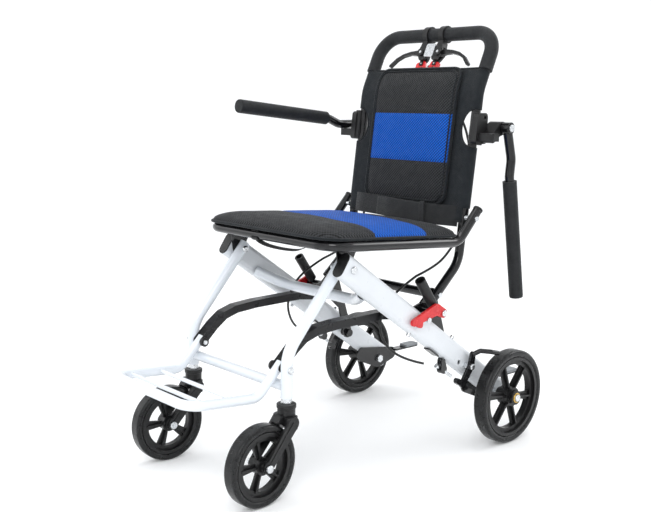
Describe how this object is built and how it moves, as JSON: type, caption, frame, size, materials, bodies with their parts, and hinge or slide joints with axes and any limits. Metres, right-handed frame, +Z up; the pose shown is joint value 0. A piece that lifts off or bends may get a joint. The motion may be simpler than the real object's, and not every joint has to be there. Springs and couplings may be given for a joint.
{
  "type": "folding transport wheelchair",
  "caption": "Folding transport wheelchair: padded seat and back, flip-up armrests and footrest, swivel castors, and rear wheels braked from levers on the push handle.",
  "frame": {"origin": "on the floor, at the centre of the outer box", "axes": "+Z up, the sitter faces -Y, +X is the sitter's left"},
  "size_m": [0.5048, 0.88, 0.8745],
  "materials": {
    "silver_beam": "satin",
    "white_paint": "gloss",
    "grey_link": "satin",
    "black_paint": "gloss",
    "black_tube": "satin",
    "black_plastic": "matte",
    "grey_plastic": "matte",
    "lever_alloy": "satin",
    "steel": "satin",
    "red_plastic": "gloss",
    "tyre": "matte",
    "foam": "matte foam",
    "grey_fabric": "woven mesh",
    "cable": "satin"
  },
  "bodies": {
    "chassis": {"beam_left": "silver_beam", "beam_right": "silver_beam", "beam_end_caps": "black_plastic", "chassis_cross_tube": "white_paint", "beam_bolts": "steel", "crank_posts": "black_paint", "tipping_plates": "black_paint", "tipping_pads": "grey_plastic", "rear_axles": "steel", "brake_stops": "black_paint", "brake_adjusters": "steel", "cables_low": "cable"},
    "brake_arm_left": {"brake_arm_left": "black_paint"},
    "brake_arm_right": {"brake_arm_right": "black_paint"},
    "rear_wheel_left": {"rear_rim_left": "black_plastic", "rear_tyre_left": "tyre"},
    "rear_wheel_right": {"rear_rim_right": "black_plastic", "rear_tyre_right": "tyre"},
    "front_legs": {"legs": "white_paint", "leg_cross_tube": "white_paint", "foot_pivot_bolts": "steel", "foot_pivot_caps": "black_plastic"},
    "footrest": {"footrest": "white_paint"},
    "link_bars": {"link_bars": "grey_link"},
    "castor_swivel_left": {"castor_fork_left": "black_plastic", "castor_stem_left": "steel"},
    "castor_swivel_right": {"castor_fork_right": "black_plastic", "castor_stem_right": "steel"},
    "castor_wheel_left": {"castor_rim_left": "black_plastic", "castor_tyre_left": "tyre"},
    "castor_wheel_right": {"castor_rim_right": "black_plastic", "castor_tyre_right": "tyre"},
    "cranks": {"cranks": "black_paint", "latch_bolts": "steel", "fold_levers": "black_plastic"},
    "latches": {"latches": "red_plastic"},
    "seat": {"seat_frame": "black_paint", "seat_bolts": "steel", "seat_caps": "black_plastic", "seat_sling": "grey_fabric", "seat_cushion": "grey_fabric"},
    "back": {"back_frame": "black_paint", "back_cross_tube": "black_paint", "back_bolts": "steel", "handle_grip": "foam", "backrest_fabric": "grey_fabric", "backrest_pad": "grey_fabric", "lap_belt": "grey_fabric", "arm_brackets": "black_plastic", "lever_clamps": "black_plastic", "lever_pins": "steel", "cables_back": "cable"},
    "armrest_left": {"arm_tube_left": "black_tube", "arm_foam_left": "foam"},
    "armrest_right": {"arm_tube_right": "black_tube", "arm_foam_right": "foam"},
    "brake_lever_left": {"brake_lever_left": "lever_alloy"},
    "brake_lever_right": {"brake_lever_right": "lever_alloy"},
    "park_lock_left": {"park_lock_left": "red_plastic"},
    "park_lock_right": {"park_lock_right": "red_plastic"}
  },
  "joints": [
    {"name": "fold", "type": "hinge", "parent": "chassis", "child": "cranks", "pos_m": [0, 0.2, 0.184], "axis": [1, 0, 0], "range_deg": [-62, 0], "deforming": ["cables_low"]},
    {"name": "back_fold", "type": "hinge", "parent": "cranks", "child": "back", "pos_m": [0, 0.15, 0.329], "axis": [1, 0, 0], "range_deg": [0, 113.46]},
    {"name": "seat_fold", "type": "hinge", "parent": "chassis", "child": "seat", "pos_m": [0, -0.112, 0.41], "axis": [1, 0, 0], "range_deg": [-7.44, 0]},
    {"name": "leg_fold", "type": "hinge", "parent": "chassis", "child": "front_legs", "pos_m": [0, -0.112, 0.41], "axis": [1, 0, 0], "range_deg": [0, 52.7]},
    {"name": "link_fold", "type": "hinge", "parent": "front_legs", "child": "link_bars", "pos_m": [0, -0.235, 0.238], "axis": [1, 0, 0], "range_deg": [-38.44, 0]},
    {"name": "footrest_flip", "type": "hinge", "parent": "front_legs", "child": "footrest", "pos_m": [0, -0.235, 0.238], "axis": [1, 0, 0], "range_deg": [-95, 0]},
    {"name": "latch_lift", "type": "hinge", "parent": "cranks", "child": "latches", "pos_m": [0, 0.132, 0.299], "axis": [1, 0, 0], "range_deg": [-28, 0]},
    {"name": "castor_swivel_left", "type": "hinge", "parent": "front_legs", "child": "castor_swivel_left", "pos_m": [0.1444, -0.235, 0.176], "axis": [0, 0, 1], "continuous": true},
    {"name": "castor_wheel_left", "type": "hinge", "parent": "castor_swivel_left", "child": "castor_wheel_left", "pos_m": [0.14764, -0.29691, 0.075], "axis": [0.9986, 0.0523, 0], "continuous": true},
    {"name": "rear_wheel_left", "type": "hinge", "parent": "chassis", "child": "rear_wheel_left", "pos_m": [0.225, 0.317, 0.1], "axis": [1, 0, 0], "continuous": true},
    {"name": "castor_swivel_right", "type": "hinge", "parent": "front_legs", "child": "castor_swivel_right", "pos_m": [-0.1444, -0.235, 0.176], "axis": [0, 0, 1], "continuous": true},
    {"name": "castor_wheel_right", "type": "hinge", "parent": "castor_swivel_right", "child": "castor_wheel_right", "pos_m": [-0.14764, -0.29691, 0.075], "axis": [0.9986, -0.0523, 0], "continuous": true},
    {"name": "rear_wheel_right", "type": "hinge", "parent": "chassis", "child": "rear_wheel_right", "pos_m": [-0.225, 0.317, 0.1], "axis": [1, 0, 0], "continuous": true},
    {"name": "armrest_left", "type": "hinge", "parent": "back", "child": "armrest_left", "pos_m": [0.211, 0.288, 0.662], "axis": [1, 0, 0], "range_deg": [0, 254.3]},
    {"name": "armrest_right", "type": "hinge", "parent": "back", "child": "armrest_right", "pos_m": [-0.211, 0.288, 0.662], "axis": [1, 0, 0], "range_deg": [-254.3, 0]},
    {"name": "brake_lever_left", "type": "hinge", "parent": "back", "child": "brake_lever_left", "pos_m": [0.024, 0.29408, 0.81581], "axis": [0, -0.9133, 0.4072], "range_deg": [0, 20], "stiffness_Nm_per_rad": 0.6},
    {"name": "brake_lever_right", "type": "hinge", "parent": "back", "child": "brake_lever_right", "pos_m": [-0.024, 0.29408, 0.81581], "axis": [0, 0.9133, -0.4072], "range_deg": [0, 20], "stiffness_Nm_per_rad": 0.6},
    {"name": "park_lock_left", "type": "hinge", "parent": "back", "child": "park_lock_left", "pos_m": [0.018, 0.28431, 0.79389], "axis": [0, -0.9133, 0.4072], "range_deg": [0, 30]},
    {"name": "park_lock_right", "type": "hinge", "parent": "back", "child": "park_lock_right", "pos_m": [-0.018, 0.28431, 0.79389], "axis": [0, 0.9133, -0.4072], "range_deg": [0, 30]},
    {"name": "brake_arm_left", "type": "hinge", "parent": "chassis", "child": "brake_arm_left", "pos_m": [0.19, 0.222, 0.174], "axis": [1, 0, 0], "range_deg": [-3, 0]},
    {"name": "brake_arm_right", "type": "hinge", "parent": "chassis", "child": "brake_arm_right", "pos_m": [-0.19, 0.222, 0.174], "axis": [1, 0, 0], "range_deg": [-3, 0]}
  ],
  "couplings": [
    {"joint": "back_fold", "follows": "fold", "ratio": -1.83},
    {"joint": "seat_fold", "follows": "fold", "ratio": 0.12},
    {"joint": "leg_fold", "follows": "fold", "ratio": -0.85},
    {"joint": "link_fold", "follows": "fold", "ratio": 0.62},
    {"joint": "brake_arm_left", "follows": "brake_lever_right", "ratio": -0.15},
    {"joint": "brake_arm_right", "follows": "brake_lever_left", "ratio": -0.15}
  ]
}
